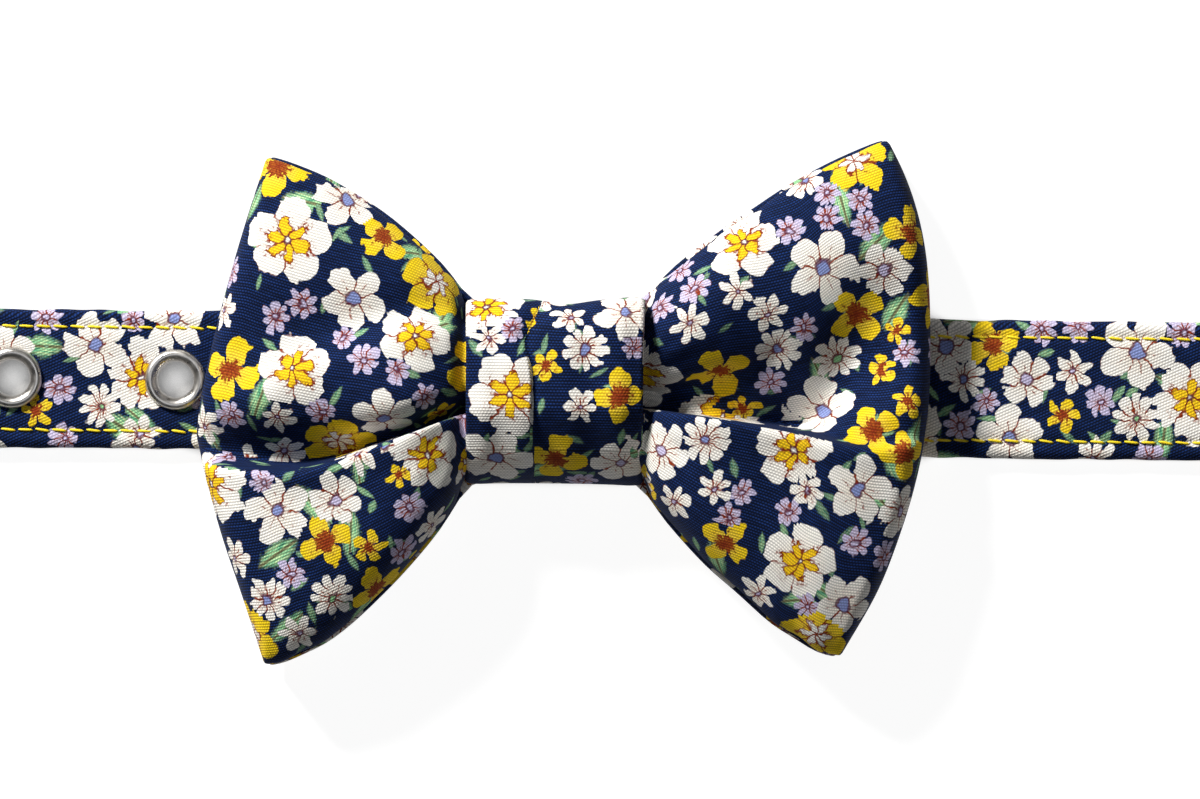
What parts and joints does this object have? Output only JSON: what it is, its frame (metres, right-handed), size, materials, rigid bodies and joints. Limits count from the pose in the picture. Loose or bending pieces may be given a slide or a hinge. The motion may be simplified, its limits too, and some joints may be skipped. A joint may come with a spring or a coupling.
{
  "type": "pet bow tie collar",
  "caption": "Flat cotton pet collar strap with a tongue buckle, metal eyelets and a padded cotton bow tie held on by a knot band.",
  "frame": {"origin": "on the flat back of the knot, in line with the middle of the strap", "axes": "+X along the strap towards the buckle, +Y across the strap, +Z out of the front of the bow"},
  "size_m": [0.4256, 0.0778, 0.02],
  "materials": {
    "strap_cotton": "printed plain-weave cotton, top-stitched",
    "bow_cotton": "printed plain-weave cotton, padded",
    "eyelet_metal": "nickel plated, polished",
    "buckle_metal": "nickel plated, polished"
  },
  "bodies": {
    "root": {"strap": "strap_cotton", "strap_loop": "strap_cotton", "eyelet_1": "eyelet_metal", "eyelet_2": "eyelet_metal", "eyelet_3": "eyelet_metal", "eyelet_4": "eyelet_metal", "eyelet_5": "eyelet_metal", "buckle": "buckle_metal", "bow": "bow_cotton", "knot": "bow_cotton"}
  },
  "joints": []
}
